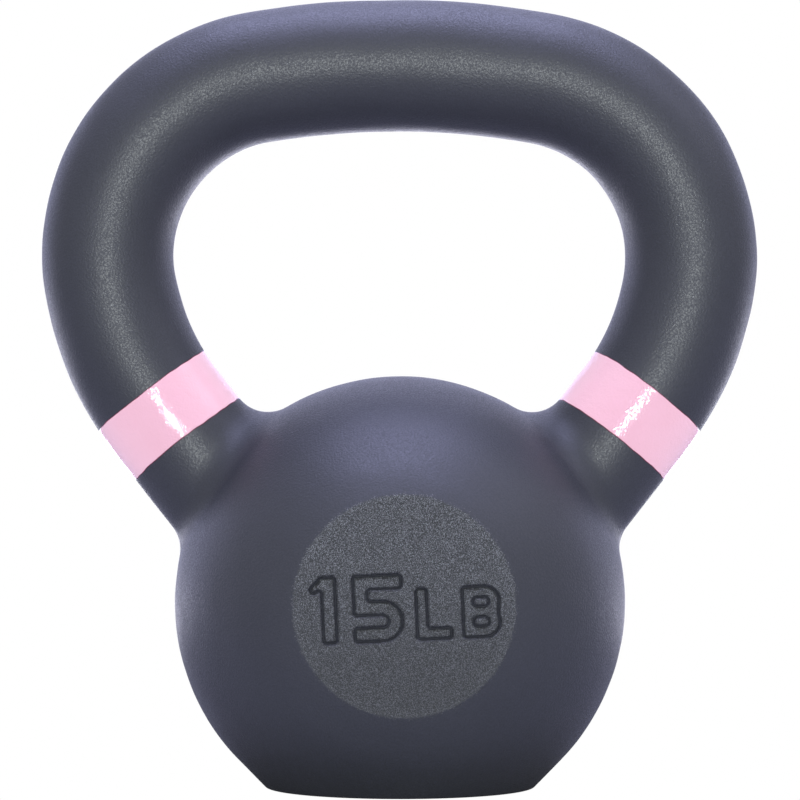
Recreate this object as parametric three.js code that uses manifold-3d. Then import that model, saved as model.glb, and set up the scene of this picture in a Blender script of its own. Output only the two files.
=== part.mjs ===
// A 15 lb cast-iron kettlebell with a round handle, two colour bands and a flat weight face.
// Millimetres. +Z is up, +Y points away from the weight face, and the origin is the centre of the base.

import * as THREE from 'three';
import { LoftGeometry } from 'three/addons/geometries/LoftGeometry.js';
import { mergeVertices } from 'three/addons/utils/BufferGeometryUtils.js';
import Module from 'manifold-3d';

// ---- Driving dimensions ----

const BALL_RADIUS = 55.2;
const BALL_CENTRE_HEIGHT = 45.4;
const BASE_RADIUS = 32.8;
const BASE_CORNER_RADIUS = 1;

const BAR_RADIUS = 16.2;           // the round bar of the grip and the horns
const GRIP_CENTRE_HEIGHT = 177.7;  // middle of the bar at the top of the handle
const HORN_FILLET_RADIUS = 9;      // where a horn runs into the ball

// The handle's centre line, from the middle of the grip outwards and down. Each arc is tangent to the last.
const CENTRE_LINE_ARCS = [
  { name: 'crown', radius: 209, turn: 9.5 },
  { name: 'shoulder', radius: 45, turn: 91.5 },
  { name: 'horn', radius: 70, turn: 27 },
];

const BAND_WIDTH = 14.8;           // along the horn
const BAND_SHIFT = 1.65;           // from the end of the last arc to the middle of the band, towards the ball
const BAND_THICKNESS = 0.6;
const BAND_PROUD = 0.15;           // how far a band stands out of the bar
const GAP = 0.3;                   // left between solids that meet
const OVERCUT = 1;                 // how far a cutter runs past what it cuts

const FACE_DISTANCE = 49;          // from the ball's centre to the flat weight face
const DISC_RADIUS = 24.6;
const DISC_THICKNESS = 4;
const DISC_CHAMFER = 0.3;

const MARK_DEPTH = 0.8;            // how deep the figures are sunk
const FIGURE_HEIGHT = 15.6;        // 1 and 5
const UNIT_HEIGHT = 12.1;          // L and B
const FIGURE_STROKE = 3.7;
const UNIT_STROKE = 3;
const BASELINE_BELOW_CENTRE = 8;
const MARK_TILT = THREE.MathUtils.degToRad(2.5);  // counterclockwise, seen from the front

const BALL_SEGMENTS = 64;
const BALL_ARC_STEPS = 24;
const CORNER_STEPS = 3;
const BAR_SEGMENTS = 28;
const BAR_STEP_LENGTH = 6;
const FILLET_STEPS = 5;
const DISC_SEGMENTS = 64;
const LETTER_ARC_STEPS = 8;

const IRON_COLOUR = 0x3c3d44;
const FACE_COLOUR = 0x4b4e53;
const BAND_COLOUR = 0xf2b3d1;

const DEPTH_AXIS = new THREE.Vector3(0, 1, 0);
const BALL_CENTRE = new THREE.Vector3(0, 0, BALL_CENTRE_HEIGHT);

// ---- Solids: closed meshes that can be joined and cut ----

const wasm = await Module();
wasm.setup();

function solidOf(geometry) {
  const bare = new THREE.BufferGeometry();
  bare.setAttribute('position', geometry.attributes.position);
  bare.setIndex(geometry.index);
  const merged = mergeVertices(bare);
  return new wasm.Manifold(new wasm.Mesh({
    numProp: 3,
    vertProperties: new Float32Array(merged.attributes.position.array),
    triVerts: new Uint32Array(merged.index.array),
  }));
}

function geometryOf(solid) {
  const mesh = solid.getMesh();
  const geometry = new THREE.BufferGeometry();
  geometry.setAttribute('position', new THREE.BufferAttribute(mesh.vertProperties, 3));
  geometry.setIndex(new THREE.BufferAttribute(mesh.triVerts, 1));
  geometry.computeVertexNormals();
  return geometry;
}

// A lathe turned about +Z. Profile points are (distance from the axis, height).
function turned(points, segments) {
  return new THREE.LatheGeometry(points, segments).rotateX(Math.PI / 2);
}

// A cylinder along Y, from the front plane to the back plane.
function cylinderAlongY(radius, front, back, segments) {
  const geometry = new THREE.CylinderGeometry(radius, radius, back - front, segments);
  return geometry.translate(0, (front + back) / 2, BALL_CENTRE_HEIGHT);
}

// ---- The handle's centre line ----

// Walks the arcs from the middle of the grip. distance is the length along the line, positive to the right
// (+X) and negative to the left. Past the last arc the line runs straight on into the ball.
function centreLineAt(distance) {
  const side = Math.sign(distance) || 1;
  let left = Math.abs(distance);
  let heading = 0;
  const place = new THREE.Vector2(0, GRIP_CENTRE_HEIGHT);
  for (const arc of CENTRE_LINE_ARCS) {
    const turn = Math.min(left / arc.radius, THREE.MathUtils.degToRad(arc.turn));
    place.x += arc.radius * (Math.sin(heading + turn) - Math.sin(heading));
    place.y += arc.radius * (Math.cos(heading + turn) - Math.cos(heading));
    heading += turn;
    left -= arc.radius * turn;
  }
  place.x += left * Math.cos(heading);
  place.y -= left * Math.sin(heading);
  return {
    point: new THREE.Vector3(side * place.x, 0, place.y),
    along: new THREE.Vector3(side * Math.cos(heading), 0, -Math.sin(heading)),
  };
}

class CentreLineStretch extends THREE.Curve {
  constructor(start, end) {
    super();
    this.start = start;
    this.end = end;
  }

  getPoint(t, target = new THREE.Vector3()) {
    return target.copy(centreLineAt(THREE.MathUtils.lerp(this.start, this.end, t)).point);
  }
}

function arcLength(arc) {
  return arc.radius * THREE.MathUtils.degToRad(arc.turn);
}

// The seam between handle and bell lies at the end of the last arc, under the band.
const SEAM = CENTRE_LINE_ARCS.reduce((sum, arc) => sum + arcLength(arc), 0);
const SEAT_RADIUS = BAR_RADIUS + BAND_PROUD - BAND_THICKNESS - GAP;

// A round bar, or a ring when it has an inner radius, swept along a stretch of the centre line.
function sweptBar(start, end, radius, innerRadius = 0) {
  const section = new THREE.Shape().absarc(0, 0, radius, 0, 2 * Math.PI);
  if (innerRadius > 0) {
    section.holes.push(new THREE.Path().absarc(0, 0, innerRadius, 0, 2 * Math.PI, true));
  }
  return new THREE.ExtrudeGeometry(section, {
    steps: Math.ceil(Math.abs(end - start) / BAR_STEP_LENGTH),
    curveSegments: BAR_SEGMENTS / 2,
    bevelEnabled: false,
    extrudePath: new CentreLineStretch(start, end),
  });
}

// A ring round the bar where a band sits. Its two edges are parallel planes square to the straight of the horn.
function bandRing(side, width, radius, innerRadius) {
  const { point, along } = centreLineAt(side * SEAM);
  const ring = solidOf(sweptBar(side * (SEAM - width), side * (SEAM + width), radius, innerRadius));
  const slab = new THREE.BoxGeometry(width, 4 * BAR_RADIUS, 4 * BAR_RADIUS);
  slab.applyQuaternion(new THREE.Quaternion().setFromUnitVectors(new THREE.Vector3(1, 0, 0), along));
  const middle = point.addScaledVector(along, BAND_SHIFT);
  slab.translate(middle.x, middle.y, middle.z);
  return ring.intersect(solidOf(slab));
}

// The groove that a band sits in, a gap wider than the band at both edges.
function bandGroove(side) {
  return bandRing(side, BAND_WIDTH + 2 * GAP, BAR_RADIUS + OVERCUT, SEAT_RADIUS);
}

// ---- Handle ----

function handle() {
  const end = SEAM - GAP / 2;
  const bar = solidOf(sweptBar(-end, end, BAR_RADIUS));
  return geometryOf(bar.subtract(bandGroove(-1)).subtract(bandGroove(1)));
}

// ---- Bell: the ball, its flat base, and the roots of the horns ----

function ball() {
  const basePoint = new THREE.Vector2(BASE_RADIUS, -BALL_CENTRE_HEIGHT);
  const tangentAngle = basePoint.angle() - 2 * Math.PI + Math.acos(BALL_RADIUS / basePoint.length());
  const coneSlope = tangentAngle + Math.PI / 2;
  const cornerCentre = BASE_RADIUS - BASE_CORNER_RADIUS * Math.tan(coneSlope / 2);
  const points = [new THREE.Vector2(0, 0)];
  for (let step = 0; step <= CORNER_STEPS; step += 1) {
    const angle = -Math.PI / 2 + coneSlope * step / CORNER_STEPS;
    points.push(new THREE.Vector2(
      cornerCentre + BASE_CORNER_RADIUS * Math.cos(angle),
      BASE_CORNER_RADIUS * (1 + Math.sin(angle)),
    ));
  }
  for (let step = 0; step < BALL_ARC_STEPS; step += 1) {
    const angle = THREE.MathUtils.lerp(tangentAngle, Math.PI / 2, step / BALL_ARC_STEPS);
    points.push(new THREE.Vector2(
      BALL_RADIUS * Math.cos(angle),
      BALL_CENTRE_HEIGHT + BALL_RADIUS * Math.sin(angle),
    ));
  }
  points.push(new THREE.Vector2(0, BALL_CENTRE_HEIGHT + BALL_RADIUS));
  return solidOf(turned(points, BALL_SEGMENTS));
}

// A point of a horn root's fillet, on the bar at step 0 and on the ball at step 1. The fillet is the path of a
// sphere that rolls round the horn touching both, so its centre is a fillet radius from the bar and the ball.
function filletPoint(seam, outward, step) {
  const rolling = outward.clone().multiplyScalar(BAR_RADIUS + HORN_FILLET_RADIUS).add(seam.point);
  const fromBall = rolling.clone().sub(BALL_CENTRE);
  const reach = BALL_RADIUS + HORN_FILLET_RADIUS;
  const ahead = fromBall.dot(seam.along);
  const travel = -ahead - Math.sqrt(ahead ** 2 - fromBall.lengthSq() + reach ** 2);
  rolling.addScaledVector(seam.along, travel);
  const toBall = BALL_CENTRE.clone().sub(rolling).normalize();
  const toBar = outward.clone().negate();
  const swing = toBar.angleTo(toBall);
  const contact = toBar.multiplyScalar(Math.sin((1 - step) * swing));
  contact.addScaledVector(toBall, Math.sin(step * swing)).divideScalar(Math.sin(swing));
  return rolling.addScaledVector(contact, HORN_FILLET_RADIUS);
}

function hornRoot(side) {
  const seam = centreLineAt(side * (SEAM + GAP / 2));
  const inPlane = DEPTH_AXIS.clone().cross(seam.along);
  const ring = (place) => Array.from({ length: BAR_SEGMENTS }, (_, index) => {
    const angle = 2 * Math.PI * index / BAR_SEGMENTS;
    const outward = inPlane.clone().multiplyScalar(Math.cos(angle));
    outward.addScaledVector(DEPTH_AXIS, Math.sin(angle));
    return place(outward);
  });
  const sections = [ring((outward) => outward.multiplyScalar(BAR_RADIUS).add(seam.point))];
  for (let step = 0; step <= FILLET_STEPS; step += 1) {
    sections.push(ring((outward) => filletPoint(seam, outward, step / FILLET_STEPS)));
  }
  sections.push(ring((outward) => outward.multiplyScalar(BAR_RADIUS / 2).add(BALL_CENTRE)));
  return solidOf(new LoftGeometry(sections, { capStart: true, capEnd: true }));
}

function bell() {
  const facePlane = -FACE_DISTANCE;
  const pocketFloor = facePlane + DISC_THICKNESS + GAP;
  const inFront = -BALL_RADIUS - OVERCUT;
  const flatCut = solidOf(cylinderAlongY(BALL_RADIUS, inFront, facePlane, DISC_SEGMENTS));
  const pocket = solidOf(cylinderAlongY(DISC_RADIUS + GAP, inFront, pocketFloor, DISC_SEGMENTS));
  let solid = ball();
  for (const side of [-1, 1]) {
    solid = solid.add(hornRoot(side)).subtract(bandGroove(side));
  }
  return geometryOf(solid.subtract(flatCut).subtract(pocket));
}

// ---- Colour bands ----

function colourBand(side) {
  const outer = BAR_RADIUS + BAND_PROUD;
  return geometryOf(bandRing(side, BAND_WIDTH, outer, outer - BAND_THICKNESS));
}

// ---- Weight disc and its sunk figures ----

// Each letter is drawn in its own box from (0, 0), with its height and stroke given.

function letterOne(height, stroke) {
  const flag = stroke * 0.82;
  const notch = stroke * 0.41;
  return {
    width: flag + stroke,
    shape: new THREE.Shape()
      .moveTo(flag, 0)
      .lineTo(flag + stroke, 0)
      .lineTo(flag + stroke, height)
      .lineTo(flag, height)
      .lineTo(0, height - flag)
      .lineTo(notch, height - flag - notch)
      .lineTo(flag, height - 2 * notch),
  };
}

function letterFive(height, stroke) {
  const bowl = height * 0.31;
  const width = bowl + stroke * 1.83;
  const centre = width - bowl;
  const inner = bowl - stroke;
  return {
    width,
    shape: new THREE.Shape()
      .moveTo(0, 0)
      .lineTo(centre, 0)
      .absarc(centre, bowl, bowl, -Math.PI / 2, Math.PI / 2)
      .lineTo(stroke, 2 * bowl)
      .lineTo(stroke, height - stroke)
      .lineTo(width, height - stroke)
      .lineTo(width, height)
      .lineTo(0, height)
      .lineTo(0, 2 * bowl - stroke)
      .lineTo(centre, 2 * bowl - stroke)
      .absarc(centre, bowl, inner, Math.PI / 2, -Math.PI / 2, true)
      .lineTo(0, stroke),
  };
}

function letterL(height, stroke) {
  const width = height * 0.7;
  return {
    width,
    shape: new THREE.Shape()
      .moveTo(0, 0)
      .lineTo(width, 0)
      .lineTo(width, stroke)
      .lineTo(stroke, stroke)
      .lineTo(stroke, height)
      .lineTo(0, height),
  };
}

function letterB(height, stroke) {
  const bowl = (height + stroke) / 4;
  const width = stroke + 1.6 * bowl;
  const centre = width - bowl;
  const inner = bowl - stroke;
  const shape = new THREE.Shape()
    .moveTo(0, 0)
    .lineTo(centre, 0)
    .absarc(centre, bowl, bowl, -Math.PI / 2, Math.asin(1 - stroke / 2 / bowl))
    .absarc(centre, height - bowl, bowl, -Math.asin(1 - stroke / 2 / bowl), Math.PI / 2)
    .lineTo(0, height);
  for (const middle of [bowl, height - bowl]) {
    shape.holes.push(new THREE.Path()
      .moveTo(stroke, middle - inner)
      .lineTo(stroke, middle + inner)
      .lineTo(centre, middle + inner)
      .absarc(centre, middle, inner, Math.PI / 2, -Math.PI / 2, true));
  }
  return { width, shape };
}

function markLetters() {
  return [
    { ...letterOne(FIGURE_HEIGHT, FIGURE_STROKE), spaceAfter: 3.5 },
    { ...letterFive(FIGURE_HEIGHT, FIGURE_STROKE), spaceAfter: 2.7 },
    { ...letterL(UNIT_HEIGHT, UNIT_STROKE), spaceAfter: 2.1 },
    { ...letterB(UNIT_HEIGHT, UNIT_STROKE), spaceAfter: 0 },
  ];
}

function weightDisc() {
  const face = -FACE_DISTANCE;
  const profile = [
    [0, 0],
    [DISC_RADIUS, 0],
    [DISC_RADIUS, DISC_THICKNESS - DISC_CHAMFER],
    [DISC_RADIUS - DISC_CHAMFER, DISC_THICKNESS],
    [0, DISC_THICKNESS],
  ].map(([x, y]) => new THREE.Vector2(x, y));
  const disc = new THREE.LatheGeometry(profile, DISC_SEGMENTS);
  disc.rotateX(Math.PI).translate(0, face + DISC_THICKNESS, BALL_CENTRE_HEIGHT);
  let solid = solidOf(disc);

  const letters = markLetters();
  const total = letters.reduce((sum, letter) => sum + letter.width + letter.spaceAfter, 0);
  let left = -total / 2;
  for (const letter of letters) {
    const cutter = new THREE.ExtrudeGeometry(letter.shape, {
      depth: MARK_DEPTH + OVERCUT,
      steps: 1,
      bevelEnabled: false,
      curveSegments: LETTER_ARC_STEPS,
    });
    cutter.rotateX(Math.PI / 2);
    cutter.translate(left, face + MARK_DEPTH, -BASELINE_BELOW_CENTRE);
    cutter.rotateY(-MARK_TILT);
    cutter.translate(0, 0, BALL_CENTRE_HEIGHT);
    solid = solid.subtract(solidOf(cutter));
    left += letter.width + letter.spaceAfter;
  }
  return geometryOf(solid);
}

// ---- Assembly ----

const iron = { color: IRON_COLOUR, roughness: 0.7, metalness: 0 };
const weightFace = { color: FACE_COLOUR, roughness: 0.85, metalness: 0 };
const paint = { color: BAND_COLOUR, roughness: 0.2, metalness: 0 };

const kettlebell = new THREE.Group();

function place(name, geometry, finish) {
  const mesh = new THREE.Mesh(geometry, new THREE.MeshStandardMaterial(finish));
  mesh.name = name;
  kettlebell.add(mesh);
}

place('bell', bell(), iron);
place('handle', handle(), iron);
place('colour_band_left', colourBand(-1), paint);
place('colour_band_right', colourBand(1), paint);
place('weight_disc', weightDisc(), weightFace);

export default kettlebell;
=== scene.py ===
"""A matte black cast-iron kettlebell with pink enamel bands, standing on a white studio floor."""

import math

import bmesh
import bpy
import numpy as np
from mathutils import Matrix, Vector
from mathutils.geometry import delaunay_2d_cdt


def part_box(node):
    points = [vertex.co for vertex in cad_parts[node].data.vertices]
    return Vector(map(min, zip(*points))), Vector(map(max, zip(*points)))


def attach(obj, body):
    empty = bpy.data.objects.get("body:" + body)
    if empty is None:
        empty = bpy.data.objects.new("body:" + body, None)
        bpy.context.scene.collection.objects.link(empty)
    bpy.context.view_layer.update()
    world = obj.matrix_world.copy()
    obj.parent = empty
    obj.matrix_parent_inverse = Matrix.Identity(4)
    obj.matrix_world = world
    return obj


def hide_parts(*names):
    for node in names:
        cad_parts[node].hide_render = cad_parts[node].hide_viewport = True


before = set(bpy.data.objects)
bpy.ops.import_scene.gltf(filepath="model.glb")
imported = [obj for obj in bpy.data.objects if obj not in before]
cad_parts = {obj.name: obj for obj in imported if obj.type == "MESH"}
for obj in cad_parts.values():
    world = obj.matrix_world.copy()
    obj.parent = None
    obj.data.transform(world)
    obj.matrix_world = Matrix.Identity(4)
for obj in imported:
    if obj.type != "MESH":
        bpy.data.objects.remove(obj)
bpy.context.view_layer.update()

MM = 0.001

# ---- Sizes taken from the frame ----

bell_low, bell_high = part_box("bell")
_, handle_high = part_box("handle")
disc_low, disc_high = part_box("weight_disc")

BALL_RADIUS = bell_high.y
BALL_HEIGHT = (disc_low.z + disc_high.z) / 2
FACE_DISTANCE = -bell_low.y
BAR_RADIUS = handle_high.y
GRIP_HEIGHT = handle_high.z - BAR_RADIUS

# ---- Sizes shared with the part ----

BASE_RADIUS = 32.8 * MM
BASE_CORNER_RADIUS = 1 * MM
HORN_FILLET_RADIUS = 9 * MM
BAND_WIDTH = 14.8 * MM
BAND_SHIFT = 1.65 * MM

# (radius, turn in degrees) of the centre line's tangent arcs, from the middle of the grip down to the band.
CENTRE_LINE_ARCS = [
    (209 * MM, 9.5),
    (45 * MM, 91.5),
    (70 * MM, 27),
]

FIGURE_HEIGHT = 15.6 * MM
UNIT_HEIGHT = 12.1 * MM
FIGURE_STROKE = 3.7 * MM
UNIT_STROKE = 3 * MM
BASELINE_BELOW_CENTRE = 8 * MM
MARK_TILT = math.radians(2.5)

# ---- Sizes of the fine surface ----

MESH_STEP = 1.3 * MM
MESH_CLEARANCE = 0.7 * MESH_STEP    # least distance from a loose point to an outline
FOOT_STEP = 2.5 * MESH_STEP
BAR_SIDES = 96
GRAIN_STEP = 0.34 * MM
GRAIN_CLEARANCE = 0.6 * GRAIN_STEP
OUTLINE_STEP = 1.5 * GRAIN_STEP
CREASE_RADIUS = 1.6 * MM
DISC_BACK_DEPTH = 2 * MM
WAVINESS = 0.07 * MM
GRAIN_HEIGHT = 0.05 * MM
GROUND_HEIGHT = 0.02 * MM           # the gentle unevenness under the grains
CORNER_ROUNDING = 1.05 * MM
PAINT_THICKNESS = 0.14 * MM
PAINT_BEDDED = 0.05 * MM            # how far the paint's underside lies inside the bar
RIM_WIDTH = 0.33 * MM

ROW_SPACING = math.sqrt(0.75)       # between rows of equal triangles, in sides
WAVE_SPREAD = (0.7, 1.6)            # shortest and longest wave of a random field, in wavelengths

BALL_CENTRE = np.array([0.0, 0.0, BALL_HEIGHT])
DEPTH_AXIS = np.array([0.0, 1.0, 0.0])


# ---- Mesh helpers ----


class Patchwork:
    """Gathers surface patches and welds them into one closed mesh."""

    def __init__(self):
        self.points = []
        self.faces = []
        self.count = 0

    def add(self, points, faces):
        self.points.append(np.asarray(points, float))
        self.faces.extend([tuple(corner + self.count for corner in face) for face in faces])
        self.count += len(points)

    def add_grid(self, rows):
        """Quads between rows of points. Each row is a closed ring."""
        rows = np.asarray(rows, float)
        lines, around = rows.shape[:2]
        faces = []
        for line in range(lines - 1):
            for index in range(around):
                after = (index + 1) % around
                faces.append((
                    line * around + index,
                    line * around + after,
                    (line + 1) * around + after,
                    (line + 1) * around + index,
                ))
        self.add(rows.reshape(-1, 3), faces)

    def add_cap(self, ring):
        """One flat polygon across a hidden ring."""
        self.add(ring, [tuple(range(len(ring)))])

    def build(self, name, sharp_angle=50):
        mesh = bpy.data.meshes.new(name)
        mesh.from_pydata(np.concatenate(self.points).tolist(), [], self.faces)
        shape = bmesh.new()
        shape.from_mesh(mesh)
        bmesh.ops.remove_doubles(shape, verts=shape.verts, dist=1e-3 * MM)
        bmesh.ops.recalc_face_normals(shape, faces=shape.faces)
        shape.to_mesh(mesh)
        shape.free()
        mesh.shade_smooth()
        mesh.set_sharp_from_angle(angle=math.radians(sharp_angle))
        piece = bpy.data.objects.new(name, mesh)
        bpy.context.scene.collection.objects.link(piece)
        return piece


def inside(points, loops):
    """Which points lie inside an odd number of closed loops."""
    result = np.zeros(len(points), bool)
    for loop in loops:
        start = np.asarray(loop)
        end = np.roll(start, -1, axis=0)
        for (x0, y0), (x1, y1) in zip(start, end):
            crosses = (points[:, 1] < y0) != (points[:, 1] < y1)
            if y0 != y1:
                at = x0 + (points[:, 1] - y0) * (x1 - x0) / (y1 - y0)
                result ^= crosses & (points[:, 0] < at)
    return result


def clear_of(points, others, distance):
    """Which points are further than a distance from all the others."""
    nearest = np.full(len(points), np.inf)
    for other in np.asarray(others):
        nearest = np.minimum(nearest, ((points - other) ** 2).sum(axis=1))
    return nearest > distance ** 2


def triangulate(loops, inner_points):
    """Fills between closed loops, using the loose inner points. Loop points come first, in order."""
    edges = []
    count = 0
    for loop in loops:
        edges += [(count + index, count + (index + 1) % len(loop)) for index in range(len(loop))]
        count += len(loop)
    points = np.concatenate([np.asarray(loop) for loop in loops] + [inner_points])
    corners = [Vector(point) for point in points.tolist()]
    whole_hull = 0
    smallest_gap = 1e-9
    result = delaunay_2d_cdt(corners, edges, [], whole_hull, smallest_gap, True)
    out_points, _, out_faces, sources = result[:4]
    assert len(out_points) == len(points) and all(sources), "the outlines cross each other"
    back = [source[0] for source in sources]
    faces = np.array([[back[corner] for corner in face] for face in out_faces])
    keep = inside(points[faces].mean(axis=1), loops)
    return points, faces[keep]


def hex_lattice(radius, step):
    """Points of a triangular lattice inside a circle about the origin."""
    rows = int(radius / (step * ROW_SPACING)) + 1
    columns = int(radius / step) + 1
    points = []
    for row in range(-rows, rows + 1):
        for column in range(-columns, columns + 1):
            points.append(((column + row % 2 / 2) * step, row * step * ROW_SPACING))
    points = np.array(points)
    return points[np.hypot(points[:, 0], points[:, 1]) < radius]


def smooth_noise(points, wavelength, seed, waves=40):
    """A smooth random field with a spread of about 1, made of plane waves."""
    draw = np.random.default_rng(seed)
    directions = draw.normal(size=(waves, 3))
    directions /= np.linalg.norm(directions, axis=1)[:, None]
    counts = 2 * math.pi / (wavelength * draw.uniform(*WAVE_SPREAD, waves))
    phases = draw.uniform(0, 2 * math.pi, waves)
    total = np.zeros(len(points))
    for direction, count, phase in zip(directions, counts, phases):
        total += np.sin(points @ direction * count + phase)
    return total * math.sqrt(2 / waves)


def coordinates(mesh):
    points = np.zeros(len(mesh.vertices) * 3)
    mesh.vertices.foreach_get("co", points)
    return points.reshape(-1, 3)


def shift_along_normals(piece, amount):
    """Moves each vertex out along its normal by amount(points), in metres."""
    mesh = piece.data
    points = coordinates(mesh)
    normals = np.zeros(len(mesh.vertices) * 3)
    mesh.vertex_normals.foreach_get("vector", normals)
    moved = points + normals.reshape(-1, 3) * amount(points)[:, None]
    mesh.vertices.foreach_set("co", moved.ravel())
    mesh.update()


def smooth_step(value, low, high):
    t = np.clip((value - low) / (high - low), 0, 1)
    return t * t * (3 - 2 * t)


# ---- The handle's centre line ----

ARC_LENGTHS = [radius * math.radians(turn) for radius, turn in CENTRE_LINE_ARCS]
SEAM = sum(ARC_LENGTHS)


def centre_line_at(distance):
    """Point, direction and in-plane normal at a length along the line, positive towards +X."""
    side = -1.0 if distance < 0 else 1.0
    left = abs(distance)
    heading = 0.0
    x = 0.0
    z = GRIP_HEIGHT
    for radius, full_turn in CENTRE_LINE_ARCS:
        turn = min(left / radius, math.radians(full_turn))
        x += radius * (math.sin(heading + turn) - math.sin(heading))
        z += radius * (math.cos(heading + turn) - math.cos(heading))
        heading += turn
        left -= radius * turn
    x += left * math.cos(heading)
    z -= left * math.sin(heading)
    point = np.array([side * x, 0.0, z])
    along = np.array([side * math.cos(heading), 0.0, -math.sin(heading)])
    outward = np.array([side * math.sin(heading), 0.0, math.cos(heading)])
    return point, along, outward


def angles_around(sides):
    return np.arange(sides) * 2 * math.pi / sides


def spokes(outward):
    """Unit vectors round the bar, from the outside of the bend."""
    angles = angles_around(BAR_SIDES)[:, None]
    return np.cos(angles) * outward + np.sin(angles) * DEPTH_AXIS


def bar_ring(distance):
    point, _, outward = centre_line_at(distance)
    return point + BAR_RADIUS * spokes(outward)


# ---- Handle ----


def casting_waviness(points):
    """The slight unevenness of a sand casting. It dies away at the base, the weight face and the seams."""
    long_wave = 26 * MM
    short_wave = 9 * MM
    amount = WAVINESS * smooth_noise(points, long_wave, seed=3)
    amount += WAVINESS / 4 * smooth_noise(points, short_wave, seed=4)
    amount *= smooth_step(points[:, 2], 1.5 * MM, 8 * MM)
    amount *= 1 - smooth_step(-points[:, 1], FACE_DISTANCE - 4 * MM, FACE_DISTANCE - 1 * MM)
    for side in (-1, 1):
        seam = centre_line_at(side * SEAM)[0]
        from_seam = np.linalg.norm(points - seam, axis=1)
        amount *= smooth_step(from_seam, BAR_RADIUS + 1 * MM, BAR_RADIUS + 12 * MM)
    return amount


def build_handle():
    work = Patchwork()
    steps = round(2 * SEAM / MESH_STEP)
    rows = [bar_ring(-SEAM + 2 * SEAM * step / steps) for step in range(steps + 1)]
    work.add_grid(rows)
    work.add_cap(rows[0])
    work.add_cap(rows[-1])
    piece = work.build("handle_bar")
    shift_along_normals(piece, casting_waviness)
    return piece


# ---- Bell ----


def horn_root_rows(side):
    """Rings down one horn, from the seam through the fillet to its edge on the ball.

    The fillet is the envelope of a sphere that rolls round the horn and touches both bar and ball.
    """
    seam, along, outward = centre_line_at(side * SEAM)
    radial = spokes(outward)
    rolling = seam + (BAR_RADIUS + HORN_FILLET_RADIUS) * radial
    from_ball = rolling - BALL_CENTRE
    ahead = from_ball @ along
    reach = BALL_RADIUS + HORN_FILLET_RADIUS
    travel = -ahead - np.sqrt(ahead ** 2 - (from_ball ** 2).sum(axis=1) + reach ** 2)
    rolling = rolling + travel[:, None] * along
    to_ball = BALL_CENTRE - rolling
    to_ball /= np.linalg.norm(to_ball, axis=1)[:, None]
    swing = np.arccos(np.clip((-radial * to_ball).sum(axis=1), -1, 1))[:, None]

    rows = []
    straight_steps = 12
    for step in range(straight_steps):
        rows.append(seam + BAR_RADIUS * radial + travel[:, None] * along * step / straight_steps)
    fillet_steps = 14
    for step in range(fillet_steps + 1):
        share = step / fillet_steps
        contact = np.sin((1 - share) * swing) * -radial + np.sin(share * swing) * to_ball
        rows.append(rolling + HORN_FILLET_RADIUS * contact / np.sin(swing))
    return rows


def base_profile():
    """(distance from the axis, height) from the base's flat edge, round its corner and up to the ball."""
    base_angle = math.atan2(-BALL_HEIGHT, BASE_RADIUS)
    tangent_angle = base_angle + math.acos(BALL_RADIUS / math.hypot(BASE_RADIUS, BALL_HEIGHT))
    cone_slope = tangent_angle + math.pi / 2
    corner_centre = BASE_RADIUS - BASE_CORNER_RADIUS * math.tan(cone_slope / 2)
    profile = []
    corner_steps = 6
    for step in range(corner_steps + 1):
        angle = -math.pi / 2 + cone_slope * step / corner_steps
        profile.append((
            corner_centre + BASE_CORNER_RADIUS * math.cos(angle),
            BASE_CORNER_RADIUS * (1 + math.sin(angle)),
        ))
    top = (BALL_RADIUS * math.cos(tangent_angle), BALL_HEIGHT + BALL_RADIUS * math.sin(tangent_angle))
    start = np.array(profile[-1])
    cone_steps = 6
    for step in range(1, cone_steps + 1):
        profile.append(tuple(start + (np.array(top) - start) * step / cone_steps))
    return profile


def crease_profile():
    """(distance from the face's axis, distance in front of the ball's centre) of the soft crease."""
    reach = BALL_RADIUS - CREASE_RADIUS
    depth = FACE_DISTANCE - CREASE_RADIUS
    centre = math.sqrt(reach ** 2 - depth ** 2)
    full_turn = math.atan2(centre, depth)
    steps = 8
    profile = []
    for step in range(steps + 1):
        angle = full_turn * step / steps
        profile.append((
            centre + CREASE_RADIUS * math.sin(angle),
            depth + CREASE_RADIUS * math.cos(angle),
        ))
    return profile


CREASE_PROFILE = crease_profile()
FACE_RADIUS = CREASE_PROFILE[0][0]
CREASE_SIDES = round(2 * math.pi * CREASE_PROFILE[-1][0] / MESH_STEP)


def ring_about_z(radius, height, sides):
    angles = angles_around(sides)
    return np.stack([radius * np.cos(angles), radius * np.sin(angles), np.full(sides, height)], 1)


def ring_about_face(radius, in_front, sides):
    angles = angles_around(sides)
    return np.stack([
        radius * np.cos(angles),
        np.full(sides, -in_front),
        BALL_HEIGHT + radius * np.sin(angles),
    ], 1)


def flatten_sphere(points):
    """Stereographic map of the ball from its lowest point, so that triangles keep their shape."""
    unit = (points - BALL_CENTRE) / BALL_RADIUS
    return unit[:, :2] / (1 + unit[:, 2:])


def raise_to_sphere(flat):
    square = (flat ** 2).sum(axis=1)[:, None]
    unit = np.concatenate([2 * flat, 1 - square], axis=1) / (1 + square)
    return BALL_CENTRE + BALL_RADIUS * unit


def even_sphere_points(step):
    """Points spread evenly over the ball along a spiral that turns by the golden angle."""
    count = int(4 * math.pi * BALL_RADIUS ** 2 / (step ** 2 * ROW_SPACING))
    index = np.arange(count) + 0.5
    up = 1 - 2 * index / count
    turn = index * math.pi * (3 - math.sqrt(5))
    across = np.sqrt(1 - up ** 2)
    unit = np.stack([across * np.cos(turn), across * np.sin(turn), up], 1)
    return BALL_CENTRE + BALL_RADIUS * unit


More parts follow.
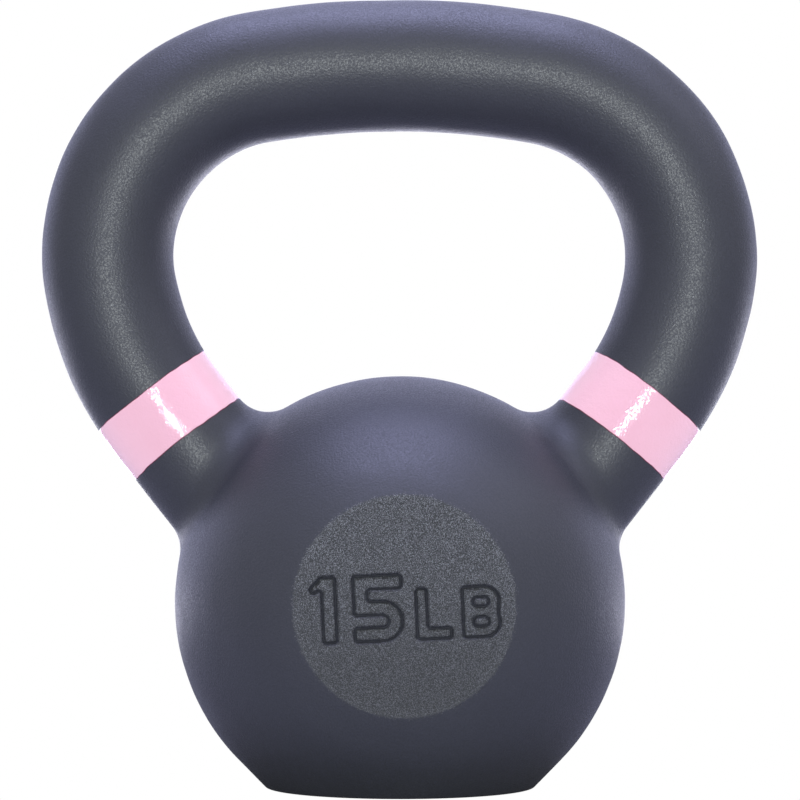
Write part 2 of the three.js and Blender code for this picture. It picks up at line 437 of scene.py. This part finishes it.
def build_bell():
    work = Patchwork()

    base = base_profile()
    base_sides = round(2 * math.pi * base[-1][0] / MESH_STEP)
    base_rows = [ring_about_z(radius, height, base_sides) for radius, height in base]
    work.add_grid(base_rows)
    foot_loop = base_rows[0][:, :2]
    foot_inner = hex_lattice(base[0][0] - MESH_STEP, FOOT_STEP)
    foot_points, foot_faces = triangulate([foot_loop], foot_inner)
    work.add(np.pad(foot_points, ((0, 0), (0, 1))), foot_faces)

    crease_rows = [ring_about_face(radius, front, CREASE_SIDES) for radius, front in CREASE_PROFILE]
    work.add_grid(crease_rows)
    pocket_floor = ring_about_face(FACE_RADIUS, FACE_DISTANCE - DISC_BACK_DEPTH, CREASE_SIDES)
    work.add_grid([crease_rows[0], pocket_floor])
    work.add_cap(pocket_floor)

    loops = [base_rows[-1], crease_rows[-1]]
    for side in (-1, 1):
        root_rows = horn_root_rows(side)
        work.add_grid(root_rows)
        work.add_cap(root_rows[0])
        loops.append(root_rows[-1])

    flat_loops = [flatten_sphere(loop) for loop in loops]
    spread = even_sphere_points(MESH_STEP)
    flat_spread = flatten_sphere(spread)
    keep = inside(flat_spread, flat_loops)
    keep &= clear_of(spread, np.concatenate(loops), MESH_CLEARANCE)
    flat_points, faces = triangulate(flat_loops, flat_spread[keep])
    work.add(raise_to_sphere(flat_points), faces)

    piece = work.build("bell_casting")
    shift_along_normals(piece, casting_waviness)
    return piece


# ---- Sunk figures ----


def arc_points(centre, radius, start, end, steps=14):
    """Points along an arc, from one angle to another, in degrees."""
    return [
        (
            centre[0] + radius * math.cos(math.radians(start + (end - start) * step / steps)),
            centre[1] + radius * math.sin(math.radians(start + (end - start) * step / steps)),
        )
        for step in range(steps + 1)
    ]


def figure_one(height, stroke):
    flag = stroke * 0.82
    notch = stroke * 0.41
    outline = [
        (flag, 0),
        (flag + stroke, 0),
        (flag + stroke, height),
        (flag, height),
        (0, height - flag),
        (notch, height - flag - notch),
        (flag, height - 2 * notch),
    ]
    return flag + stroke, [outline]


def figure_five(height, stroke):
    bowl = height * 0.31
    width = bowl + stroke * 1.83
    centre = (width - bowl, bowl)
    outline = [(0, 0)]
    outline += arc_points(centre, bowl, -90, 90)
    outline += [
        (stroke, 2 * bowl),
        (stroke, height - stroke),
        (width, height - stroke),
        (width, height),
        (0, height),
        (0, 2 * bowl - stroke),
    ]
    outline += arc_points(centre, bowl - stroke, 90, -90)
    outline.append((0, stroke))
    return width, [outline]


def letter_l(height, stroke):
    width = height * 0.7
    outline = [(0, 0), (width, 0), (width, stroke), (stroke, stroke), (stroke, height), (0, height)]
    return width, [outline]


def letter_b(height, stroke):
    """The arcs of the two bowls stop a little before they would cross, which leaves a blunt waist."""
    bowl = (height + stroke) / 4
    width = stroke + 1.6 * bowl
    middle = width - bowl
    crossing = math.degrees(math.asin(1 - stroke / 2 / bowl))
    waist = crossing - 14
    outline = [(0, 0)]
    outline += arc_points((middle, bowl), bowl, -90, waist)
    outline += arc_points((middle, height - bowl), bowl, -waist, 90)
    outline.append((0, height))
    loops = [outline]
    inner = bowl - stroke
    for up in (bowl, height - bowl):
        counter = [(stroke, up - inner)]
        counter += arc_points((middle, up), inner, -90, 90)
        counter.append((stroke, up + inner))
        loops.append(counter)
    return width, loops


def rounded(outline, radius, steps=5):
    """Rounds a closed outline's corners, hollow ones at half the radius. Slight turns are left."""
    slight_turn = math.radians(75)
    hollow_share = 0.5
    longest_trim = 0.45
    points = np.asarray(outline, float)
    points = points[np.linalg.norm(points - np.roll(points, 1, axis=0), axis=1) > 1e-6 * MM]
    result = []
    for index, corner in enumerate(points):
        to_last = points[index - 1] - corner
        to_next = points[(index + 1) % len(points)] - corner
        reach = min(np.linalg.norm(to_last), np.linalg.norm(to_next))
        to_last /= np.linalg.norm(to_last)
        to_next /= np.linalg.norm(to_next)
        half = math.acos(np.clip(to_last @ to_next, -1, 1)) / 2
        if half > slight_turn:
            result.append(corner)
            continue
        is_hollow = to_next[0] * to_last[1] < to_next[1] * to_last[0]
        trim = min(radius * (hollow_share if is_hollow else 1) / math.tan(half), reach * longest_trim)
        fitted = trim * math.tan(half)
        middle = (to_last + to_next) / np.linalg.norm(to_last + to_next)
        centre = corner + middle * fitted / math.sin(half)
        start = corner + to_last * trim - centre
        end = corner + to_next * trim - centre
        swing = math.pi - 2 * half
        for step in range(steps + 1):
            share = step / steps
            spoke = math.sin((1 - share) * swing) * start + math.sin(share * swing) * end
            result.append(centre + spoke / math.sin(swing))
    return np.array(result)


def resampled(outline, step):
    """The same closed outline with no edge longer than a step."""
    result = []
    for start, end in zip(outline, np.roll(outline, -1, axis=0)):
        pieces = max(1, math.ceil(np.linalg.norm(end - start) / step))
        for part in range(pieces):
            result.append(start + (end - start) * part / pieces)
    return np.array(result)


def inset(outline, distance):
    """Moves each point of a closed outline to its left by a distance, mitred at corners."""
    along = np.roll(outline, -1, axis=0) - outline
    along /= np.linalg.norm(along, axis=1)[:, None]
    left = np.stack([-along[:, 1], along[:, 0]], 1)
    before = np.roll(left, 1, axis=0)
    mitre = (left + before) / (1 + (left * before).sum(axis=1))[:, None]
    return outline + distance * mitre


def area_of(outline):
    after = np.roll(outline, -1, axis=0)
    return ((outline[:, 0] * after[:, 1] - after[:, 0] * outline[:, 1]) / 2).sum()


def mark_loops():
    """Closed outlines of the weight figure, placed on the face. Counters wind the other way round."""
    letters = [
        (figure_one(FIGURE_HEIGHT, FIGURE_STROKE), 3.5 * MM),
        (figure_five(FIGURE_HEIGHT, FIGURE_STROKE), 2.7 * MM),
        (letter_l(UNIT_HEIGHT, UNIT_STROKE), 2.1 * MM),
        (letter_b(UNIT_HEIGHT, UNIT_STROKE), 0),
    ]
    left = -sum(width + space for (width, _), space in letters) / 2
    turn = np.array([
        [math.cos(MARK_TILT), math.sin(MARK_TILT)],
        [-math.sin(MARK_TILT), math.cos(MARK_TILT)],
    ])
    placed = []
    for (width, outlines), space in letters:
        loops = []
        for number, outline in enumerate(outlines):
            loop = resampled(rounded(outline, CORNER_ROUNDING), OUTLINE_STEP)
            is_counter = number > 0
            if (area_of(loop) < 0) != is_counter:
                loop = loop[::-1]
            loops.append((loop + [left, -BASELINE_BELOW_CENTRE]) @ turn)
        placed.append(loops)
        left += width + space
    return placed


# (distance inside the outline, depth) of a sunk figure's edge: a soft lip, a groove and the raised floor.
WALL_PROFILE = [
    (-0.36 * MM, 0),
    (-0.24 * MM, 0.05 * MM),
    (-0.1 * MM, 0.3 * MM),
    (0.02 * MM, 0.66 * MM),
    (0.14 * MM, 0.94 * MM),
    (0.28 * MM, 1.06 * MM),
    (0.42 * MM, 1.02 * MM),
    (0.56 * MM, 0.86 * MM),
    (0.7 * MM, 0.66 * MM),
    (0.82 * MM, 0.54 * MM),
    (0.94 * MM, 0.5 * MM),
]


def on_face(flat, depth=0.0):
    """Points of the face's plane, or sunk below it, from their flat coordinates."""
    return np.stack([flat[:, 0], np.full(len(flat), depth - FACE_DISTANCE), BALL_HEIGHT + flat[:, 1]], 1)


def grain_height(points):
    """The sandy surface of the weight face: dense small grains on a gently uneven ground."""
    draw = np.random.default_rng(11)
    height = GRAIN_HEIGHT * draw.normal(size=len(points))
    height += GROUND_HEIGHT * smooth_noise(points, 5 * MM, seed=12)
    from_axis = np.hypot(points[:, 0], points[:, 2] - BALL_HEIGHT)
    height *= 1 - smooth_step(from_axis, FACE_RADIUS - 2.5 * MM, FACE_RADIUS - 0.5 * MM)
    deepest_sand = 1 * MM
    height[points[:, 1] > deepest_sand - FACE_DISTANCE] = 0
    return height


def build_weight_disc():
    work = Patchwork()
    angles = angles_around(CREASE_SIDES)
    rim = FACE_RADIUS * np.stack([np.cos(angles), np.sin(angles)], 1)
    lattice = hex_lattice(FACE_RADIUS - 0.5 * MM, GRAIN_STEP)
    letters = mark_loops()

    lips = []
    for loops in letters:
        floor = []
        for loop in loops:
            rings = [inset(loop, distance) for distance, _ in WALL_PROFILE]
            work.add_grid([on_face(ring, depth) for ring, (_, depth) in zip(rings, WALL_PROFILE)])
            lips.append(rings[0])
            floor.append(rings[-1])
        keep = inside(lattice, floor)
        keep &= clear_of(lattice, np.concatenate(floor), GRAIN_CLEARANCE)
        points, faces = triangulate(floor, lattice[keep])
        work.add(on_face(points, WALL_PROFILE[-1][1]), faces)

    outlines = [rim] + lips
    keep = inside(lattice, outlines)
    keep &= clear_of(lattice, np.concatenate(outlines), GRAIN_CLEARANCE)
    points, faces = triangulate(outlines, lattice[keep])
    work.add(on_face(points), faces)

    draft = 0.98
    back = draft * rim
    work.add_grid([on_face(rim), on_face(back, DISC_BACK_DEPTH)])
    work.add_cap(on_face(back, DISC_BACK_DEPTH))
    piece = work.build("weight_face")
    shift_along_normals(piece, grain_height)
    return piece


# ---- Colour bands ----


def length_along_bar(level, outwardness):
    """Centre-line length past the seam to a plane square to the horn there, for points round the bar.

    Above the seam the bar bends, so the plane's outside edge is further along than its inside one.
    """
    bend = CENTRE_LINE_ARCS[-1][0]
    reach = bend + BAR_RADIUS * outwardness
    return np.where(level > 0, level, bend * np.arcsin(np.minimum(level, 0) / reach))


def mark_rim(piece, side, edge_levels):
    """Stores how near each vertex is to a painted edge: 1 on the edge, 0 from the rim's width inwards."""
    mesh = piece.data
    seam, along, outward = centre_line_at(side * SEAM)
    from_seam = coordinates(mesh) - seam
    across = np.stack([from_seam @ outward, from_seam @ DEPTH_AXIS], 1)
    across /= np.linalg.norm(across, axis=1)[:, None]
    levels = edge_levels(np.pad(across, ((0, 0), (0, 1))))
    from_edge = np.min([np.abs(from_seam @ along - level) for level in levels], axis=0)
    rim = mesh.attributes.new("rim", "FLOAT", "POINT")
    rim.data.foreach_set("value", 1 - smooth_step(from_edge, 0, RIM_WIDTH))


def build_band(name, side, seed):
    """A brushed-on ring of enamel: thin, a little wavy, with hand-painted edges."""
    around = 288
    along = 60
    angles = angles_around(around)
    circle = np.stack([np.cos(angles), np.sin(angles), np.zeros(around)], 1)

    def edge_levels(around_bar):
        """How far past the seam the two painted edges lie, for directions round the bar."""
        levels = []
        for edge in (-1, 1):
            wander = 0.1 * smooth_noise(around_bar, 1.6, seed=seed + edge)
            wander += 0.05 * smooth_noise(around_bar, 0.3, seed=seed + 5 + edge)
            levels.append(BAND_SHIFT + edge * (BAND_WIDTH / 2 + wander * MM))
        return levels

    edges = [side * (SEAM + length_along_bar(level, circle[:, 0])) for level in edge_levels(circle)]

    def shell(height_at):
        """Rings from edge to edge, closer together near both. height_at gives their height over the bar."""
        rows = np.zeros((along + 1, around, 3))
        for step in range(along + 1):
            share = 0.5 - 0.5 * math.cos(math.pi * (step / along))
            height = height_at(share)
            for index in range(around):
                distance = edges[0][index] + (edges[1][index] - edges[0][index]) * share
                point, _, outward = centre_line_at(distance)
                radial = math.cos(angles[index]) * outward + math.sin(angles[index]) * DEPTH_AXIS
                rows[step, index] = point + (BAR_RADIUS + height) * radial
        return rows

    def paint_height(share):
        from_edge = min(share, 1 - share) * BAND_WIDTH
        return PAINT_THICKNESS * float(smooth_step(from_edge, -0.3 * MM, 0.5 * MM))

    outer = shell(paint_height)
    work = Patchwork()
    work.add_grid(outer)
    inner = shell(lambda share: -PAINT_BEDDED)
    work.add_grid(inner)
    work.add_grid([outer[0], inner[0]])
    work.add_grid([outer[-1], inner[-1]])
    piece = work.build(name, sharp_angle=60)

    def brushed(points):
        ripple = 0.006 * MM * smooth_noise(points, 1.1 * MM, seed=seed + 20)
        ripple += 0.012 * MM * smooth_noise(points, 4 * MM, seed=seed + 21)
        return ripple

    shift_along_normals(piece, brushed)
    mark_rim(piece, side, edge_levels)
    return piece


# ---- Materials ----


class NodeMaterial:
    """A node tree with short calls for the few nodes used here."""

    def __init__(self, name):
        self.material = bpy.data.materials.new(name)
        self.material.use_nodes = True
        self.tree = self.material.node_tree
        self.shader = self.tree.nodes["Principled BSDF"]

    def node(self, kind, settings=None, **inputs):
        node = self.tree.nodes.new(kind)
        for key, value in (settings or {}).items():
            setattr(node, key, value)
        for key, value in inputs.items():
            self.feed(node, key.replace("_", " "), value)
        return node

    def feed(self, node, socket, value):
        target = node.inputs[int(socket)] if socket.isdigit() else node.inputs[socket]
        if isinstance(value, bpy.types.NodeSocket):
            self.tree.links.new(value, target)
        else:
            target.default_value = value

    def set(self, **inputs):
        for key, value in inputs.items():
            self.feed(self.shader, key.replace("_", " "), value)

    def place(self):
        return self.node("ShaderNodeTexCoord").outputs["Object"]

    def noise(self, vector, cell, detail=2.0, roughness=0.5):
        """Smooth noise from 0 to 1, with features about one cell across."""
        node = self.node("ShaderNodeTexNoise", Vector=vector, Scale=1 / cell)
        self.feed(node, "Detail", detail)
        self.feed(node, "Roughness", roughness)
        return node.outputs["Fac"]

    def wander(self, vector, cell, amount):
        """Noise about zero, with features about one cell across."""
        return self.math("MULTIPLY_ADD", self.noise(vector, cell, detail=1), amount, -amount / 2)

    def grains(self, vector, cell):
        """Distance from the middle of the nearest grain, in cells."""
        node = self.node("ShaderNodeTexVoronoi", Vector=vector, Scale=1 / cell)
        return node.outputs["Distance"]

    def math(self, operation, first, second=0.0, third=0.0):
        node = self.node("ShaderNodeMath", {"operation": operation})
        for index, value in enumerate((first, second, third)):
            self.feed(node, str(index), value)
        return node.outputs[0]

    def ramp(self, value, low, high, start=0.0, end=1.0):
        """Maps low..high smoothly to start..end."""
        node = self.node("ShaderNodeMapRange", {"interpolation_type": "SMOOTHSTEP"}, Value=value)
        limits = {"From Min": low, "From Max": high, "To Min": start, "To Max": end}
        for socket, number in limits.items():
            self.feed(node, socket, number)
        return node.outputs["Result"]

    def mix(self, share, first, second):
        node = self.node("ShaderNodeMix", {"data_type": "RGBA"})
        self.feed(node, "0", share)
        self.feed(node, "6", first)
        self.feed(node, "7", second)
        return node.outputs[2]

    def bump(self, height, distance, strength=1.0, normal=None):
        node = self.node("ShaderNodeBump", Height=height, Distance=distance, Strength=strength)
        if normal is not None:
            self.feed(node, "Normal", normal)
        return node.outputs["Normal"]


def weight_face_masks(coat, place):
    """Where the sandy face is, with a ragged edge, where its grooves are, and the height over its middle."""
    axis = coat.node("ShaderNodeSeparateXYZ", Vector=place)
    across = axis.outputs["X"]
    depth = axis.outputs["Y"]
    up = coat.math("SUBTRACT", axis.outputs["Z"], BALL_HEIGHT)
    square_across = coat.math("MULTIPLY", across, across)
    square_up = coat.math("MULTIPLY", up, up)
    from_axis = coat.math("SQRT", coat.math("ADD", square_across, square_up))

    ragged = coat.math("ADD", from_axis, coat.wander(place, 1.5 * MM, 1.2 * MM))
    ragged = coat.math("ADD", ragged, coat.wander(place, 0.35 * MM, 4 * MM))
    edge = FACE_RADIUS + 0.4 * MM
    softness = 0.4 * MM
    on_disc = coat.ramp(ragged, edge - softness, edge + softness, 1.0, 0.0)
    in_front = coat.ramp(depth, -FACE_DISTANCE + 1.5 * MM, -FACE_DISTANCE + 3 * MM, 1.0, 0.0)
    face = coat.math("MULTIPLY", on_disc, in_front)
    # The groove mask darkens the grooves' colour as painted shade, and turns the sandy bumps off there.
    groove = coat.ramp(depth, -FACE_DISTANCE + 0.6 * MM, -FACE_DISTANCE + 0.92 * MM)
    return face, groove, up


def powder_coat(name):
    """Matte black powder coat: fine orange peel, and on the weight face a coarse sandy grain with painted
    shade in the grooves of its sunk figures.
    """
    smooth_dark = (0.0283, 0.0297, 0.0389, 1)
    smooth_light = (0.0355, 0.0373, 0.0481, 1)
    sand_dark = (0.018, 0.019, 0.0215, 1)
    sand_light = (0.185, 0.192, 0.212, 1)
    # A darker colour that paints shade into the grooves of the sunk figures.
    groove_painted_shade = (0.022, 0.0235, 0.031, 1)

    coat = NodeMaterial(name)
    place = coat.place()
    face, groove, up = weight_face_masks(coat, place)

    cloudy = coat.noise(place, 18 * MM, detail=3)
    mottled = coat.math("ADD", cloudy, coat.wander(place, 0.4 * MM, 3.0))
    plain = coat.mix(mottled, smooth_dark, smooth_light)
    specks = coat.noise(place, 0.22 * MM, detail=2, roughness=0.7)
    # Fewer bright grains towards the bottom, so the face is darker low down.
    share_at_foot = 0.48
    share_at_top = 1.03
    grain_share = coat.ramp(up, -25 * MM, 20 * MM, share_at_foot, share_at_top)
    bright = coat.math("MULTIPLY", coat.ramp(specks, 0.48, 0.62), grain_share)
    sandy = coat.mix(bright, sand_dark, sand_light)
    # Painted shade: the grooves of the sunk figures are coloured darker, on top of their real depth.
    sandy = coat.mix(groove, sandy, groove_painted_shade)
    coat.set(Base_Color=coat.mix(face, plain, sandy))

    glossiest = 0.41
    dullest = 0.6
    patches = coat.noise(place, 0.35 * MM, detail=1)
    coat.set(Roughness=coat.ramp(patches, 0.35, 0.65, glossiest, dullest))
    coat.set(Specular_IOR_Level=0.52)

    peel = coat.bump(coat.noise(place, 0.55 * MM, detail=1), 0.08 * MM)
    fine_peel = coat.bump(coat.grains(place, 0.3 * MM), 0.015 * MM, normal=peel)
    sand_strength = coat.math("MULTIPLY", face, coat.math("SUBTRACT", 1.0, groove))
    coat.set(Normal=coat.bump(specks, 0.22 * MM, sand_strength, fine_peel))
    return coat.material


def band_enamel(name):
    """Gloss pink enamel with a brushed ripple, dark crimson where it thins out over the black."""
    deep_pink = (0.84, 0.515, 0.6, 1)
    pale_pink = (0.86, 0.545, 0.635, 1)
    crimson = (0.16, 0.012, 0.04, 1)

    paint = NodeMaterial(name)
    place = paint.place()
    cloudy = paint.noise(place, 6 * MM, detail=2)
    pink = paint.mix(cloudy, deep_pink, pale_pink)
    rim = paint.node("ShaderNodeAttribute", {"attribute_name": "rim"}).outputs["Fac"]
    paint.set(Base_Color=paint.mix(paint.ramp(rim, 0.1, 0.9), pink, crimson))
    paint.set(Roughness=0.06, Specular_IOR_Level=0.35, Diffuse_Roughness=0.8)
    ripple = paint.noise(place, 0.5 * MM, detail=1)
    paint.set(Normal=paint.bump(ripple, 0.06 * MM))
    return paint.material


# ---- Studio ----

FLOOR_HALF_WIDTH = 6.0
FLOOR_LEVEL = -0.2 * MM
FLOOR_REFLECTANCE = (0.35, 0.35, 0.36, 1)
FILL_LIGHT = (0.49, 0.49, 0.49, 1)
WHITE = (1, 1, 1, 1)


def build_floor():
    """A wide sheet just under the foot, so that the two never share a plane."""
    corners = [
        (across * FLOOR_HALF_WIDTH, along * FLOOR_HALF_WIDTH, FLOOR_LEVEL)
        for across, along in ((-1, -1), (1, -1), (1, 1), (-1, 1))
    ]
    mesh = bpy.data.meshes.new("studio_floor")
    mesh.from_pydata(corners, [], [(0, 1, 2, 3)])
    floor = bpy.data.objects.new("studio_floor", mesh)
    bpy.context.scene.collection.objects.link(floor)
    floor.data.materials.append(studio_white())


def studio_white():
    """A lit white sheet: plain white to look at, and only a mild glow on what stands on it."""
    material = bpy.data.materials.new("studio_white")
    material.use_nodes = True
    tree = material.node_tree
    tree.nodes.clear()
    output = tree.nodes.new("ShaderNodeOutputMaterial")
    paper = tree.nodes.new("ShaderNodeBsdfDiffuse")
    paper.inputs["Color"].default_value = FLOOR_REFLECTANCE
    lit = tree.nodes.new("ShaderNodeEmission")
    lit.inputs["Strength"].default_value = 1.0
    seen = tree.nodes.new("ShaderNodeLightPath")
    mix = tree.nodes.new("ShaderNodeMixShader")
    tree.links.new(seen.outputs["Is Camera Ray"], mix.inputs[0])
    tree.links.new(paper.outputs[0], mix.inputs[1])
    tree.links.new(lit.outputs[0], mix.inputs[2])
    tree.links.new(mix.outputs[0], output.inputs["Surface"])
    return material


MIDDLE = (0, 0, 0.09)
NEUTRAL = (0.94, 1, 0.98)
PALE_BLUE = (0.85, 0.85, 1)
SKY_BLUE = (0.58, 0.6, 1)

# (name, place, the point it faces, width, height, brightness, colour): one strong light in front, and dim
# bluish ones above and behind. The floor behind the object glows.
LIGHTS = [
    ("front_light", (0, -3, 0.15), MIDDLE, 0.35, 0.26, 210, NEUTRAL),
    ("top_light", (0, 0, 2), MIDDLE, 1.6, 1.6, 7, SKY_BLUE),
    ("top_back_light", (0, 1.5, 1.6), MIDDLE, 1.6, 0.8, 2, SKY_BLUE),
    ("top_right_light", (1.4, -0.4, 1.4), MIDDLE, 1, 1, 1.5, PALE_BLUE),
    ("back_light", (0, 2.2, 0.6), MIDDLE, 2.4, 1.5, 1.5, SKY_BLUE),
    ("back_left_light", (-1.7, 1.5, 0.5), MIDDLE, 1.2, 1.6, 2, SKY_BLUE),
    ("back_right_light", (1.7, 1.5, 0.5), MIDDLE, 1.2, 1.6, 1.5, SKY_BLUE),
    ("floor_glow", (0, 1, 0.004), (0, 1, 1), 3, 1.2, 5.5, PALE_BLUE),
]


def build_lights():
    for name, place, facing, width, height, brightness, colour in LIGHTS:
        data = bpy.data.lights.new(name, "AREA")
        data.shape = "RECTANGLE"
        data.size = width
        data.size_y = height
        data.energy = brightness * math.pi * width * height
        data.color = colour
        light = bpy.data.objects.new(name, data)
        light.location = place
        aim = Vector(facing) - Vector(place)
        light.rotation_euler = aim.to_track_quat("-Z", "Y").to_euler()
        light.visible_camera = False
        bpy.context.scene.collection.objects.link(light)


def build_world():
    """White to look at, and a dim even fill as a light."""
    world = bpy.data.worlds.new("studio")
    bpy.context.scene.world = world
    world.use_nodes = True
    tree = world.node_tree
    tree.nodes.clear()
    output = tree.nodes.new("ShaderNodeOutputWorld")
    seen = tree.nodes.new("ShaderNodeLightPath")
    white = tree.nodes.new("ShaderNodeBackground")
    white.inputs["Color"].default_value = WHITE
    fill = tree.nodes.new("ShaderNodeBackground")
    fill.inputs["Color"].default_value = FILL_LIGHT
    mix = tree.nodes.new("ShaderNodeMixShader")
    tree.links.new(seen.outputs["Is Camera Ray"], mix.inputs[0])
    tree.links.new(fill.outputs[0], mix.inputs[1])
    tree.links.new(white.outputs[0], mix.inputs[2])
    tree.links.new(mix.outputs[0], output.inputs["Surface"])


def build_camera():
    """A long lens in front of the weight face, low down, a little to the left and looking slightly up."""
    distance = 0.690
    height = 0.0637
    sideways = math.radians(1.17)
    pitch = math.radians(90 + 2.58)
    data = bpy.data.cameras.new("camera")
    data.sensor_width = 36.0
    data.lens = 126.0
    camera = bpy.data.objects.new("camera", data)
    camera.location = (-distance * math.sin(sideways), -distance * math.cos(sideways), height)
    camera.rotation_euler = (pitch, 0, -sideways)
    bpy.context.scene.collection.objects.link(camera)
    bpy.context.scene.camera = camera


# ---- Assembly ----

build_camera()
build_floor()
build_world()
build_lights()

iron = powder_coat("powder_coat_iron")
sandy_iron = powder_coat("sandy_powder_coat_iron")
enamel = band_enamel("band_enamel")

pieces = [
    (build_handle(), "handle", iron, "powder_coat_iron"),
    (build_bell(), "bell", iron, "powder_coat_iron"),
    (build_weight_disc(), "weight_disc", sandy_iron, "weight_face_iron"),
    (build_band("enamel_band_left", -1, seed=40), "colour_band_left", enamel, "band_paint"),
    (build_band("enamel_band_right", 1, seed=70), "colour_band_right", enamel, "band_paint"),
]
for piece, node, material, slot in pieces:
    piece.data.materials.append(material)
    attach(piece, "root")
    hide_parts(node)

bpy.context.scene.view_settings.view_transform = "Standard"
